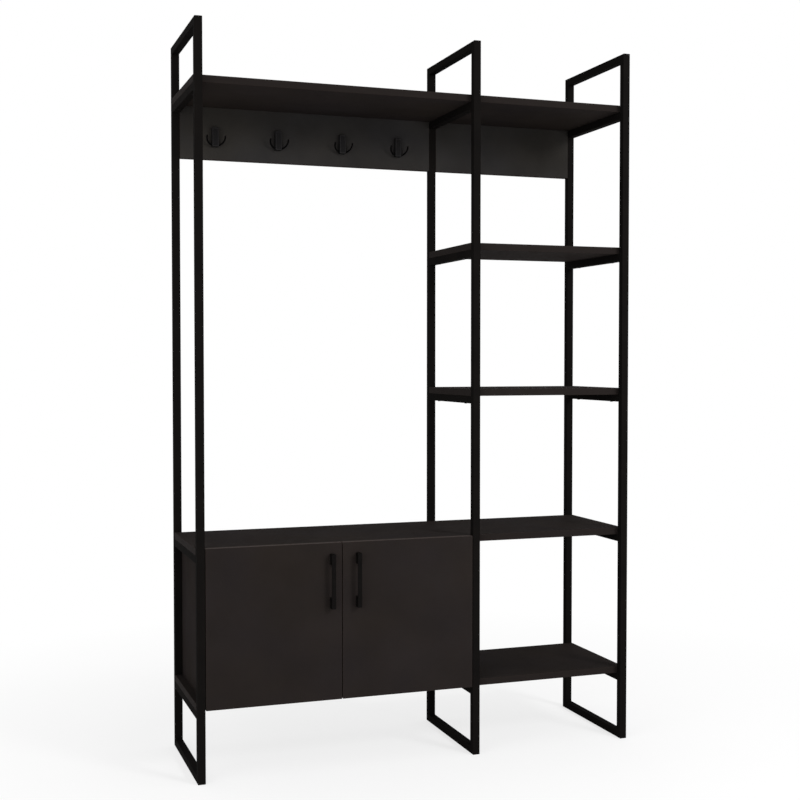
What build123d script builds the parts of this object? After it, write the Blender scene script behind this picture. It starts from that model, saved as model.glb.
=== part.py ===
from build123d import *
import os
from math import cos, radians, sin

# Hall tree: three closed steel loops stand side by side and carry boards between their
# front and rear posts.  Millimetres.  X runs to the right, Y to the rear, Z up.
# The origin is on the floor, under the centre of the overall box, handles included.

# ---------------------------------------------------------------- frames
depth = 353.0
height = 1893.0
left_bay_width = 717.0
right_bay_width = 423.0
tube = 20.0
tube_wall = 1.5
tube_corner = 1.5
tube_inner_corner = 0.5

# ---------------------------------------------------------------- boards
board = 18.0
base_rail_clearance = 160.0
cabinet_clear_height = 371.0
middle_bay_height = 371.0
upper_bay_height = 371.0
top_shelf_drop = 138.0
hook_panel = 18.0
hook_panel_height = 140.0

# ---------------------------------------------------------------- cabinet
side_panel = 18.0
back_panel = 3.0
back_panel_lap = 12.0
inner_shelf = 16.0
inner_shelf_height = 180.0
inner_shelf_setback = 60.0
inner_shelf_end_gap = 0.5
support_peg_radius = 2.5
support_peg_depth = 9.0
support_lug_length = 9.0
support_lug_width = 10.0
support_lug_height = 6.0
support_inset = 50.0

# ---------------------------------------------------------------- doors
door = 18.0
left_door_width = 351.0
door_post_gap = 2.0
door_meeting_gap = 3.0
door_bottom_reveal = 3.0

# ---------------------------------------------------------------- handles
handle_width = 11.0
handle_hole_spacing = 112.0
handle_foot = 28.0
handle_bar = 4.0
handle_projection = 20.0
handle_edge_round = 1.0
handle_height_above_door_centre = 104.5
left_handle_inset = 26.5
right_handle_inset = 40.0

# ---------------------------------------------------------------- coat hooks
hook_places = (115.0, 290.0, 474.0, 639.0)
hook_body_width = 18.5
hook_body_height = 52.0
hook_body_projection = 12.0
hook_body_round = 1.0
hook_face_margin = 3.0
hook_face_recess = 0.8
hook_below_shelf = 54.0
hook_hole_spacing = 32.0
prong_radius = 25.0
prong_rod_radius = 2.25
prong_lean = 30.0
prong_rise = 8.0
prong_root_height = 2.5
prong_root_depth = 8.0

# ---------------------------------------------------------------- cup hinges
hinge_from_door_end = 75.0
cup_radius = 17.5
cup_depth = 11.5
cup_wall = 1.2
cup_edge_distance = 4.0
cup_flange = 1.2
cup_rim_width = 1.5
cup_wing_width = 13.0
cup_wing_length = 62.0
cup_wing_shift = 6.0
cup_wing_corner = 4.0
cup_screw_spacing = 48.0
arm_width = 14.0
arm_height = 11.2
arm_sheet = 1.5
arm_reach = 62.0
arm_edge_distance = 19.8
arm_cup_gap = 0.6
plate_thickness = 2.3
plate_setback = 37.0
plate_length = 38.0
plate_width = 18.0
plate_wing_length = 50.0
plate_wing_width = 14.0
plate_screw_spacing = 32.0
saddle_length = 24.0

# ---------------------------------------------------------------- fasteners
screw_radius = 2.0
screw_fit = 0.05
screw_tip_gap = 0.5
screw_head_radius = 4.25
screw_head_height = 1.8
screw_recess_width = 1.0
screw_recess_length = 4.6
screw_recess_depth = 1.0
screw_hole_play = 0.25
board_screw_bite = 12.0
hinge_screw_length = 16.0
metal_thread_depth = 6.0
rail_screw_spacing = 200.0
panel_screw_inset = 60.0
nail_radius = 0.9
nail_length = 20.0
nail_head_radius = 2.5
nail_head_height = 0.7
nail_fit = 0.05
nail_tip_gap = 0.5
nail_inset = 30.0
nail_pitch = 130.0

# ---------------------------------------------------------------- derived places
FRAMES = ("left", "middle", "right")
overall_width = left_bay_width + right_bay_width + len(FRAMES) * tube
rear_y = (depth + handle_projection) / 2
front_y = rear_y - depth
mid_y = (front_y + rear_y) / 2
inner_front_y = front_y + tube
inner_rear_y = rear_y - tube

left_x = -overall_width / 2
bay_left_x = left_x + tube
bay_right_x = bay_left_x + left_bay_width
right_bay_x = (bay_right_x + tube, bay_right_x + tube + right_bay_width)
frame_x = {"left": left_x, "middle": bay_right_x, "right": right_bay_x[1]}

base_underside = base_rail_clearance + tube
base_top = base_underside + board
bench_underside = base_top + cabinet_clear_height
bench_top_z = bench_underside + board
middle_underside = bench_top_z + middle_bay_height
middle_top = middle_underside + board
upper_underside = middle_top + upper_bay_height
top_shelf_top = height - top_shelf_drop
top_shelf_underside = top_shelf_top - board
hook_panel_rear_y = inner_rear_y + hook_panel
back_rear_y = inner_rear_y + back_panel

BOARDS = {
    "base": ("base_board", base_underside, ("left", "middle", "right")),
    "bench": ("bench_top", bench_underside, ("left", "middle", "right")),
    "middle_shelf": ("middle_shelf", middle_underside, ("middle", "right")),
    "upper_shelf": ("upper_shelf", upper_underside, ("middle", "right")),
    "top_shelf": ("top_shelf", top_shelf_underside, ("left", "middle", "right")),
}

door_front_y = front_y
door_back_y = door_front_y + door
door_bottom = base_underside + door_bottom_reveal
door_top = bench_top_z
left_door_x = (bay_left_x + door_post_gap, bay_left_x + door_post_gap + left_door_width)
right_door_x = (left_door_x[1] + door_meeting_gap, bay_right_x - door_post_gap)
hinge_heights = (door_bottom + hinge_from_door_end, door_top - hinge_from_door_end)
cup_centre = cup_edge_distance + cup_radius
cup_screw_x = cup_centre + cup_wing_shift
side_face = side_panel - door_post_gap
side_edge_y = inner_front_y - door_front_y
plate_y = side_edge_y + plate_setback

handle_z = door_bottom + (door_top - door_bottom) / 2 + handle_height_above_door_centre
handle_length = handle_hole_spacing + handle_foot
board_screw_length = tube + board_screw_bite
handle_screw_length = door + metal_thread_depth
hook_screw_length = hook_panel + metal_thread_depth

DOORS = {
    "left": {"x": left_door_x, "hinge_x": left_door_x[0], "side": 1},
    "right": {"x": right_door_x, "hinge_x": right_door_x[1], "side": -1},
}
DOORS["left"]["handle_x"] = left_door_x[1] - left_handle_inset
DOORS["right"]["handle_x"] = right_door_x[0] + right_handle_inset


# ---------------------------------------------------------------- helpers
def block(x, y, z):
    """A box from its low and high limits on each axis."""
    size = [limits[1] - limits[0] for limits in (x, y, z)]
    centre = [sum(limits) / 2 for limits in (x, y, z)]
    return Pos(*centre) * Box(*size)


def rod(radius, start, direction, length):
    """A cylinder that starts at a point and runs along a direction."""
    return Plane(origin=start, z_dir=direction) * Cylinder(
        radius, length, align=(Align.CENTER, Align.CENTER, Align.MIN)
    )


def save(node, shape):
    """Write one node; a group of equal pieces is passed as a list of solids."""
    if isinstance(shape, list):
        shape = Compound(children=[piece.solid() for piece in shape])
    else:
        shape = shape.solid()
    shape.label = node
    export_step(shape, f"parts/{node}.step")


def screw(head_point, direction, length):
    """A flat-headed screw: the underside of its head is at head_point."""
    plane = Plane(origin=head_point, z_dir=direction)
    shank = Cylinder(screw_radius, length, align=(Align.CENTER, Align.CENTER, Align.MIN))
    shank = chamfer(shank.edges().sort_by(Axis.Z)[-1], screw_radius / 2)
    head = Cylinder(
        screw_head_radius, screw_head_height, align=(Align.CENTER, Align.CENTER, Align.MAX)
    )
    head = fillet(head.edges().sort_by(Axis.Z)[0], screw_head_height / 2)
    body = shank + head
    for angle in (0, 90):
        slot = Box(screw_recess_length, screw_recess_width, screw_recess_depth)
        body -= Pos(0, 0, screw_recess_depth / 2 - screw_head_height) * Rot(0, 0, angle) * slot
    return plane * body


def pilot(head_point, direction, length):
    """The hole that a screw of that place and length bites into."""
    return rod(screw_radius + screw_fit, head_point, direction, length + screw_tip_gap)


def clearance_hole(point, direction, length):
    """A hole that a screw passes through freely."""
    return rod(screw_radius + screw_hole_play, point, direction, length)


def spread(low, high, pitch):
    """Evenly spaced values from one limit to the other, about a pitch apart."""
    gaps = max(1, round((high - low) / pitch))
    step = (high - low) / gaps
    return [low + step * i for i in range(gaps + 1)]


# ---------------------------------------------------------------- steel frames
def tube_section():
    """Square hollow section, centred on its axis."""
    inner = tube - 2 * tube_wall
    outline = RectangleRounded(tube, tube, tube_corner)
    return outline - RectangleRounded(inner, inner, tube_inner_corner)


def mitre(points, x):
    """A prism across the tube's width whose outline gives a member its 45 degree ends."""
    outline = Plane.YZ * Polygon(*points, align=None)
    return Pos(x, 0, 0) * extrude(outline, tube, dir=(1, 0, 0))


def post(x, outer_y, inner_y):
    """An upright over the whole height, mitred at both ends."""
    centre = Pos(x + tube / 2, (outer_y + inner_y) / 2, 0)
    upright = centre * extrude(tube_section(), height)
    points = [(outer_y, 0), (outer_y, height), (inner_y, height - tube), (inner_y, tube)]
    return upright & mitre(points, x)


def cross_tube(x, outer_z, inner_z):
    """The tube that closes a loop at its head or foot, mitred at both ends."""
    plane = Plane(
        origin=(x + tube / 2, front_y, (outer_z + inner_z) / 2), x_dir=(1, 0, 0), z_dir=(0, 1, 0)
    )
    member = extrude(plane * tube_section(), depth)
    points = [
        (front_y, outer_z),
        (rear_y, outer_z),
        (inner_rear_y, inner_z),
        (inner_front_y, inner_z),
    ]
    return member & mitre(points, x)


def rail_screw_places(x, top):
    """Where the two board screws of one rail seat, on the rail's underside."""
    offset = rail_screw_spacing / 2
    return [(x + tube / 2, mid_y + side * offset, top - tube) for side in (-1, 1)]


def rail(x, top):
    """The tube under one board, butted between the two posts of a frame."""
    plane = Plane(
        origin=(x + tube / 2, inner_front_y, top - tube / 2), x_dir=(1, 0, 0), z_dir=(0, 1, 0)
    )
    member = extrude(plane * tube_section(), inner_rear_y - inner_front_y)
    for place in rail_screw_places(x, top):
        member -= clearance_hole(place, (0, 0, 1), tube)
    return member


def save_frames():
    for name in FRAMES:
        x = frame_x[name]
        save(f"{name}_frame_front_post", post(x, front_y, inner_front_y))
        save(f"{name}_frame_rear_post", post(x, rear_y, inner_rear_y))
        save(f"{name}_frame_head_tube", cross_tube(x, height, height - tube))
        save(f"{name}_frame_foot_tube", cross_tube(x, 0, tube))
        for level, (_, underside, frames) in BOARDS.items():
            if name in frames:
                save(f"{name}_frame_{level}_rail", rail(x, underside))


# ---------------------------------------------------------------- boards
def side_screw_places():
    """Screws from under the base board into the lower edges of the cabinet's sides."""
    offset = rail_screw_spacing / 2
    centres = (bay_left_x + side_panel / 2, bay_right_x - side_panel / 2)
    return [(x, mid_y + side * offset, base_underside) for x in centres for side in (-1, 1)]


def panel_screw_places():
    """Screws from the rear of the hook panels into the rear edge of the top shelf."""
    z = top_shelf_underside + board / 2
    places = []
    for low, high in ((bay_left_x, bay_right_x), right_bay_x):
        for x in (low + panel_screw_inset, (low + high) / 2, high - panel_screw_inset):
            places.append((x, hook_panel_rear_y, z))
    return places


def nail_places():
    """Nails through the cabinet's back into the boards above and below and into its sides."""
    side_x = (bay_left_x + side_panel / 2, bay_right_x - side_panel / 2)
    board_z = (base_top - back_panel_lap / 2, bench_underside + back_panel_lap / 2)
    along_x = spread(bay_left_x + nail_inset, bay_right_x - nail_inset, nail_pitch)
    along_z = spread(base_top + nail_inset, bench_underside - nail_inset, nail_pitch)
    places = [(x, back_rear_y, z) for z in board_z for x in along_x]
    return places + [(x, back_rear_y, z) for x in side_x for z in along_z]


def nailed(shape):
    """A shape with the holes of the nails that reach it."""
    box = shape.bounding_box()
    for place in nail_places():
        if box.min.X < place[0] < box.max.X and box.min.Z < place[2] < box.max.Z:
            shape -= rod(nail_radius + nail_fit, place, (0, -1, 0), nail_length + nail_tip_gap)
    return shape


def flat_board(level):
    """A board that rests on its rails between the front and rear posts."""
    _, underside, frames = BOARDS[level]
    x = (frame_x[frames[0]], frame_x[frames[-1]] + tube)
    shape = block(x, (inner_front_y, inner_rear_y), (underside, underside + board))
    for name in frames:
        for place in rail_screw_places(frame_x[name], underside):
            shape -= pilot(place, (0, 0, 1), board_screw_length)
    return nailed(shape)


def top_shelf_board():
    shape = flat_board("top_shelf")
    for place in panel_screw_places():
        shape -= pilot(place, (0, -1, 0), board_screw_length)
    return shape


def base_board():
    shape = flat_board("base")
    for place in side_screw_places():
        shape -= clearance_hole(place, (0, 0, 1), board)
    return shape


def hook_screw_places():
    """Hook screws seat on the rear face of the left panel, two for each hook."""
    centre = top_shelf_underside - hook_below_shelf - hook_body_height / 2
    offset = hook_hole_spacing / 2
    return [
        [(left_x + place, hook_panel_rear_y, centre + side * offset) for side in (-1, 1)]
        for place in hook_places
    ]


def hook_panel_board(x):
    """A panel that hangs behind the top shelf, between two rear posts."""
    z = (top_shelf_underside - hook_panel_height, top_shelf_top)
    shape = block(x, (inner_rear_y, hook_panel_rear_y), z)
    for place in panel_screw_places():
        if x[0] < place[0] < x[1]:
            shape -= clearance_hole(place, (0, -1, 0), hook_panel)
    return shape


def save_boards():
    save("base_board", base_board())
    for level in ("bench", "middle_shelf", "upper_shelf"):
        save(BOARDS[level][0], flat_board(level))
    save("top_shelf", top_shelf_board())
    left_panel = hook_panel_board((bay_left_x, bay_right_x))
    for places in hook_screw_places():
        for place in places:
            left_panel -= clearance_hole(place, (0, -1, 0), hook_panel)
    save("hook_panel_left", left_panel)
    save("hook_panel_right", hook_panel_board(right_bay_x))


# ---------------------------------------------------------------- coat hooks
def hook_body():
    """The upright block: its back is in the plane y = 0 and it stands out towards -Y."""
    body = block(
        (-hook_body_width / 2, hook_body_width / 2),
        (-hook_body_projection, 0),
        (0, hook_body_height),
    )
    rear_edges = body.faces().sort_by(Axis.Y)[-1].edges()
    body = fillet([edge for edge in body.edges() if edge not in rear_edges], hook_body_round)
    face = (hook_body_width - 2 * hook_face_margin, hook_body_height - 2 * hook_face_margin)
    field = block(
        (-face[0] / 2, face[0] / 2),
        (-hook_body_projection, hook_face_recess - hook_body_projection),
        (hook_face_margin, hook_face_margin + face[1]),
    )
    return body - field


def hook_prongs():
    """One round rod bent to an open ring that leans forward through the foot of the block."""
    lean = radians(prong_lean)
    up = Vector(0, -sin(lean), cos(lean))
    root = Vector(0, -prong_root_depth, prong_root_height)
    plane = Plane(
        origin=root + up * prong_radius, x_dir=(1, 0, 0), z_dir=(0, -cos(lean), -sin(lean))
    )
    arc = plane * CenterArc((0, 0), prong_radius, 180 - prong_rise, 180 + 2 * prong_rise)
    ring = sweep(Plane(origin=arc @ 0, z_dir=arc % 0) * Circle(prong_rod_radius), path=arc)
    for end in (arc @ 0, arc @ 1):
        ring += Pos(*end) * Sphere(prong_rod_radius)
    return ring


def coat_hook(places):
    hook = hook_body() + hook_prongs()
    foot = places[0][2] - (hook_body_height - hook_hole_spacing) / 2
    hook = Pos(places[0][0], inner_rear_y, foot) * hook
    for place in places:
        hook -= pilot(place, (0, -1, 0), hook_screw_length)
    return hook


def save_hooks():
    screws = []
    for number, places in enumerate(hook_screw_places(), start=1):
        save(f"coat_hook_{number}", coat_hook(places))
        for place in places:
            screws.append(screw(place, (0, -1, 0), hook_screw_length))
    save("hook_screws", screws)


# ---------------------------------------------------------------- cabinet
def support_places():
    """The four shelf supports: the side's inner face, the peg's place and its direction."""
    front = inner_front_y + inner_shelf_setback + support_inset
    rear = inner_rear_y - support_inset
    z = base_top + inner_shelf_height - support_lug_height / 2
    faces = ((bay_left_x + side_panel, 1), (bay_right_x - side_panel, -1))
    return [(Vector(x, y, z), side) for x, side in faces for y in (front, rear)]


def shelf_support(point, side):
    """A lug with a flat top and a round peg that plugs into the cabinet's side."""
    lug = block(
        (0, support_lug_length),
        (-support_lug_width / 2, support_lug_width / 2),
        (-support_lug_height / 2, support_lug_height / 2),
    )
    lug += rod(support_peg_radius, (0, 0, 0), (-1, 0, 0), support_peg_depth)
    if side < 0:
        lug = mirror(lug, about=Plane.YZ)
    return Pos(*point) * lug


def plate_screw_places(door_name):
    """Screws through the wings of the mounting plates, on the plates' top faces."""
    info = DOORS[door_name]
    x = info["hinge_x"] + info["side"] * (side_face + plate_thickness)
    offset = plate_screw_spacing / 2
    return [
        (x, door_front_y + plate_y, z + side * offset) for z in hinge_heights for side in (-1, 1)
    ]


def cabinet_side(door_name):
    outer_x = {"left": bay_left_x, "right": bay_right_x}[door_name]
    side = DOORS[door_name]["side"]
    x = sorted((outer_x, outer_x + side * side_panel))
    shape = block(x, (inner_front_y, inner_rear_y), (base_top, bench_underside))
    for place in side_screw_places():
        if x[0] < place[0] < x[1]:
            shape -= pilot(place, (0, 0, 1), board_screw_length)
    for place in plate_screw_places(door_name):
        shape -= pilot(place, (-side, 0, 0), hinge_screw_length)
    for point, peg_side in support_places():
        if peg_side == side:
            hole = support_peg_radius + screw_fit
            shape -= rod(hole, point, (-side, 0, 0), support_peg_depth + screw_tip_gap)
    return nailed(shape)


def cabinet_back():
    """A thin panel on the rear edges of the sides and of the boards above and below them."""
    z = (base_top - back_panel_lap, bench_underside + back_panel_lap)
    return nailed(block((bay_left_x, bay_right_x), (inner_rear_y, back_rear_y), z))


def nail(place):
    """A round wire nail with a flat head that seats on the cabinet's back."""
    shank = rod(nail_radius, place, (0, -1, 0), nail_length)
    return shank + rod(nail_head_radius, place, (0, 1, 0), nail_head_height)


def save_cabinet():
    save("cabinet_left_side", cabinet_side("left"))
    save("cabinet_right_side", cabinet_side("right"))
    save("cabinet_back", cabinet_back())
    save("back_nails", [nail(place) for place in nail_places()])
    shelf_x = (
        bay_left_x + side_panel + inner_shelf_end_gap,
        bay_right_x - side_panel - inner_shelf_end_gap,
    )
    shelf_y = (inner_front_y + inner_shelf_setback, inner_rear_y)
    shelf_z = (base_top + inner_shelf_height, base_top + inner_shelf_height + inner_shelf)
    save("cabinet_shelf", block(shelf_x, shelf_y, shelf_z))
    save("shelf_supports", [shelf_support(*place) for place in support_places()])


# ---------------------------------------------------------------- doors and handles
def handle_screw_places(door_name):
    """Handle screws seat on the door's rear face."""
    x = DOORS[door_name]["handle_x"]
    offset = handle_hole_spacing / 2
    return [(x, door_back_y, handle_z + side * offset) for side in (-1, 1)]


def door_leaf(door_name):
    info = DOORS[door_name]
    leaf = block(info["x"], (door_front_y, door_back_y), (door_bottom, door_top))
    for z in hinge_heights:
        leaf -= place_hinge(cup_pocket(), door_name, z)
        for place in cup_screw_places():
            leaf -= place_hinge(pilot(place, (0, -1, 0), hinge_screw_length), door_name, z)
    for place in handle_screw_places(door_name):
        leaf -= clearance_hole(place, (0, -1, 0), door)
    return leaf


def handle(door_name):
    """A flat bar on two long feet, cut from one outline across its width."""
    back = -handle_projection
    end = handle_length / 2
    foot = end - handle_foot
    points = [
        (0, -end),
        (back, -end),
        (back, end),
        (0, end),
        (0, foot),
        (back + handle_bar, foot),
        (back + handle_bar, -foot),
        (0, -foot),
    ]
    outline = Plane.YZ * Polygon(*points, align=None)
    shape = Pos(-handle_width / 2, 0, 0) * extrude(outline, handle_width, dir=(1, 0, 0))
    front = shape.faces().sort_by(Axis.Y)[0]
    shape = fillet(front.edges(), handle_edge_round)
    shape = Pos(DOORS[door_name]["handle_x"], door_front_y, handle_z) * shape
    for place in handle_screw_places(door_name):
        shape -= pilot(place, (0, -1, 0), handle_screw_length)
    return shape


def save_doors():
    for name in DOORS:
        save(f"{name}_door", door_leaf(name))
        save(f"{name}_handle", handle(name))
        screws = [
            screw(place, (0, -1, 0), handle_screw_length) for place in handle_screw_places(name)
        ]
        save(f"{name}_handle_screws", screws)


# ---------------------------------------------------------------- cup hinges
# A hinge is drawn for the left door, from the door's outer front corner at hinge height:
# X runs along the door, Y to the rear.  The right door has the mirror image.
def place_hinge(shape, door_name, z):
    info = DOORS[door_name]
    if info["side"] < 0:
        shape = mirror(shape, about=Plane.YZ)
    return Pos(info["hinge_x"], door_front_y, z) * shape


def cup_cylinder(radius, start, length):
    return rod(radius, (cup_centre, start, 0), (0, 1, 0), length)


def cup_pocket():
    return cup_cylinder(cup_radius + screw_fit, door - cup_depth, cup_depth)


def cup_screw_places():
    offset = cup_screw_spacing / 2
    return [(cup_screw_x, door + cup_flange, side * offset) for side in (-1, 1)]


def hinge_cup():
    """The pressed cup with its rim and the two screw wings on the door's rear face."""
    plane = Plane(origin=(0, door, 0), x_dir=(1, 0, 0), z_dir=(0, 1, 0))
    wing = Pos(cup_screw_x, 0) * RectangleRounded(cup_wing_width, cup_wing_length, cup_wing_corner)
    cup = extrude(plane * wing, cup_flange)
    cup += cup_cylinder(cup_radius + cup_rim_width, door, cup_flange)
    cup += cup_cylinder(cup_radius, door - cup_depth, cup_depth)
    hollow_depth = cup_depth + cup_flange - cup_wall
    cup -= cup_cylinder(cup_radius - cup_wall, door - cup_depth + cup_wall, hollow_depth)
    for place in cup_screw_places():
        cup -= clearance_hole(place, (0, -1, 0), cup_flange)
    return cup


def hinge_arm():
    """A channel, open towards the cabinet's side, that reaches from its plate into the cup."""
    tip = door - cup_depth + cup_wall + arm_cup_gap
    x = (arm_edge_distance, arm_edge_distance + arm_height)
    y = (tip, side_edge_y + arm_reach)
    half = arm_width / 2
    arm = block(x, y, (-half, half))
    arm -= block((x[0], x[1] - arm_sheet), y, (arm_sheet - half, half - arm_sheet))
    return arm


def hinge_plate():
    """The cross-shaped mounting plate with the saddle that fills the arm's channel."""
    x = (side_face, side_face + plate_thickness)
    half_length = plate_length / 2
    half_width = plate_width / 2
    half_wing = plate_wing_width / 2
    plate = block(x, (plate_y - half_length, plate_y + half_length), (-half_width, half_width))
    wing_half_length = plate_wing_length / 2
    wing_z = (-wing_half_length, wing_half_length)
    plate += block(x, (plate_y - half_wing, plate_y + half_wing), wing_z)
    saddle_x = (side_face, arm_edge_distance + arm_height - arm_sheet)
    saddle_half = arm_width / 2 - arm_sheet
    saddle_y = (plate_y - saddle_length / 2, plate_y + saddle_length / 2)
    plate += block(saddle_x, saddle_y, (-saddle_half, saddle_half))
    for side in (-1, 1):
        place = (x[1], plate_y, side * plate_screw_spacing / 2)
        plate -= clearance_hole(place, (-1, 0, 0), plate_thickness)
    return plate


def save_hinges():
    plate_screws = []
    for name, info in DOORS.items():
        pieces = {"cups": hinge_cup(), "arms": hinge_arm(), "plates": hinge_plate()}
        for kind, piece in pieces.items():
            pair = [place_hinge(piece, name, z) for z in hinge_heights]
            save(f"{name}_hinge_{kind}", pair)
        cup_screws = [
            place_hinge(screw(place, (0, -1, 0), hinge_screw_length), name, z)
            for z in hinge_heights
            for place in cup_screw_places()
        ]
        save(f"{name}_cup_screws", cup_screws)
        for place in plate_screw_places(name):
            plate_screws.append(screw(place, (-info["side"], 0, 0), hinge_screw_length))
    save("hinge_plate_screws", plate_screws)


# ---------------------------------------------------------------- board screws
def save_board_screws():
    """Equal screws: through the rails, up into the cabinet's sides and into the top shelf."""
    screws = []
    for _, underside, frames in BOARDS.values():
        for name in frames:
            for place in rail_screw_places(frame_x[name], underside):
                screws.append(screw(place, (0, 0, 1), board_screw_length))
    for place in side_screw_places():
        screws.append(screw(place, (0, 0, 1), board_screw_length))
    for place in panel_screw_places():
        screws.append(screw(place, (0, -1, 0), board_screw_length))
    save("board_screws", screws)


def main():
    os.makedirs("parts", exist_ok=True)
    save_frames()
    save_boards()
    save_hooks()
    save_cabinet()
    save_doors()
    save_hinges()
    save_board_screws()


main()
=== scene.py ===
import math

import bmesh
import bpy
from mathutils import Matrix, Vector


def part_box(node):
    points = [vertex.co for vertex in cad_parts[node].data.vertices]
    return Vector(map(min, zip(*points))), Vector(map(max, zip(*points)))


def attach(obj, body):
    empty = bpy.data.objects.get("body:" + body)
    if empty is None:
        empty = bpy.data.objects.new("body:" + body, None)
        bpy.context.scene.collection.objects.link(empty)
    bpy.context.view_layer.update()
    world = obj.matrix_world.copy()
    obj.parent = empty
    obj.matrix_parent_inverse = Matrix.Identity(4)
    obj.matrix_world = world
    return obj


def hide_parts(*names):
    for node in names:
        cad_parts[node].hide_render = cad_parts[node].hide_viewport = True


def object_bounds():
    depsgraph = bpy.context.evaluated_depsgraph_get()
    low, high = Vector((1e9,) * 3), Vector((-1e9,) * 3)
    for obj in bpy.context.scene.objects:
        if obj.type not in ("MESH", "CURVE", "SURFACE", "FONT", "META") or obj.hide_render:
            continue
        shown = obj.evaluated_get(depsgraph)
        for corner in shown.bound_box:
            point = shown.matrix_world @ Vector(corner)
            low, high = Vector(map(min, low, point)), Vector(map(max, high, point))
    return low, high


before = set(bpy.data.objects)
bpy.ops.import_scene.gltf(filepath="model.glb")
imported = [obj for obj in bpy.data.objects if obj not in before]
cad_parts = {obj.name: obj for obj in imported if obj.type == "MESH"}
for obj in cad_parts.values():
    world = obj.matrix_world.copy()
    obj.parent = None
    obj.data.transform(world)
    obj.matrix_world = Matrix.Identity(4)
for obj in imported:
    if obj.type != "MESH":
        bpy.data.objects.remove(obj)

bl_info = {
    "name": "Hall tree",
    "version": (1, 0, 0),
    "blender": (4, 5, 0),
    "location": "3D View > Sidebar > Hall tree",
    "description": "Boards, steel frames, doors, hooks and hardware of a hall tree",
    "category": "Object",
}

CAD_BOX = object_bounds()
SIDES = ("left", "right")
FRAMES = ("left", "middle", "right")
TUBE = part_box("left_frame_foot_tube")[1].z
SHELVES = ("base_board", "bench_top", "middle_shelf", "upper_shelf", "top_shelf")
CABINET_BOARDS = ("cabinet_left_side", "cabinet_right_side", "cabinet_shelf")
HOOK_PANELS = ("hook_panel_left", "hook_panel_right")
HOOKS = [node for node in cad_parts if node.startswith("coat_hook")]
SCREWS = {
    "board_screws": ("stand", "black_screws"),
    "hook_screws": ("stand", "black_screws"),
    "hinge_plate_screws": ("stand", "screw_steel"),
    "left_cup_screws": ("left_door_leaf", "screw_steel"),
    "left_handle_screws": ("left_door_leaf", "screw_steel"),
    "right_cup_screws": ("right_door_leaf", "screw_steel"),
    "right_handle_screws": ("right_door_leaf", "screw_steel"),
}
X, Y, Z = range(3)

# Each lamp: its name, its place, the point that it faces, its width, and the setting of its power.
LAMPS = (
    ("key_lamp", (1.9, -3.3, 2.6), (0.0, 0.0, 0.9), 1.1, "key"),
    ("fill_lamp", (-3.4, -2.6, 1.6), (0.0, 0.0, 0.9), 2.4, "fill"),
    ("lift_lamp", (2.1, -2.5, 0.7), (-0.2, 0.0, 1.0), 0.9, "lift"),
)
FLOOR_RADIUS = 30.0
FLOOR_SIDES = 96
FLOOR_GAP = 0.0005
SHADOWS_FADE_FROM = 0.75
SHADOWS_END_AT = 1.9

# How strongly a surface mirrors, from hardly at all to a little.
POWDER_GLOSS = 0.0008
PAPER_GLOSS = 0.003
EDGING_GLOSS = 0.004
LACQUER_GLOSS = 0.008

# How much lighter and darker the clouding of a melamine gets, as a share of its colour.
BOARD_CLOUDING = 0.14
PANEL_CLOUDING = 0.22
# How much lighter than its faces the rounded edge of an edging is painted: a painted highlight
# along the edge.
BAND_HIGHLIGHT_GAIN = 1.4
DOOR_HIGHLIGHT_GAIN = 1.6
# The tones of a coat hook's rim, recess, flank and rounded edge, as shares of its colour; the
# flank's tone is painted light for the light its sides catch, and the dark rounded edge is painted
# shade.
HOOK_RIM_TONE = 1.3
HOOK_RECESS_TONE = 0.68
HOOK_FLANK_PAINTED_LIGHT = 0.78
HOOK_EDGE_PAINTED_SHADE = 0.12
# How a metal's drawing lines are stretched along X, Y and Z.
DRAWN_UPRIGHT = (1.0, 1.0, 0.02)
UNDRAWN = (1.0, 1.0, 1.0)

# How closely a normal points along an axis where its face is broad and flat.
SQUARE_ON = 0.999
MERGE_DISTANCE = 1e-6

EDGE_SEGMENTS = 3
POCKET_SIDES = 64
SCREW_HEAD_SIDES = 28
SCREW_HEAD_RINGS = 14
SCREW_SHANK_SIDES = 16
SCREW_SHANK_STEPS = 40
SCREW_DOME_POWER = 0.4
SCREW_TIP_SHARE = 0.25
THREAD_ROOT_SHARE = 0.78
THREAD_CREST_RISE = 0.44
CREASE_ANGLE = math.radians(35)
BEAD_SIDES = 12
BEAD_STEPS_PER_RIPPLE = 4
BEAD_UNEVENNESS = 0.06
BEAD_SEED = 5
BEAD_END_INSET = TUBE / 8


# ------------------------------------------------------------ node writing
class Socket:
    """An output of a node. Arithmetic on it adds Math nodes."""

    def __init__(self, graph, socket):
        self.graph = graph
        self.socket = socket

    def math(self, operation, *values):
        settings = {"operation": operation}
        return self.graph.node("ShaderNodeMath", settings, dict(enumerate(values)))

    def __add__(self, other):
        return self.math("ADD", self, other)

    def __radd__(self, other):
        return self.math("ADD", other, self)

    def __sub__(self, other):
        return self.math("SUBTRACT", self, other)

    def __rsub__(self, other):
        return self.math("SUBTRACT", other, self)

    def __mul__(self, other):
        return self.math("MULTIPLY", self, other)

    def __rmul__(self, other):
        return self.math("MULTIPLY", other, self)

    def __truediv__(self, other):
        return self.math("DIVIDE", self, other)

    def __pow__(self, other):
        return self.math("POWER", self, other)

    def clamped(self):
        return self.math("MAXIMUM", self.math("MINIMUM", self, 1.0), 0.0)


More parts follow.
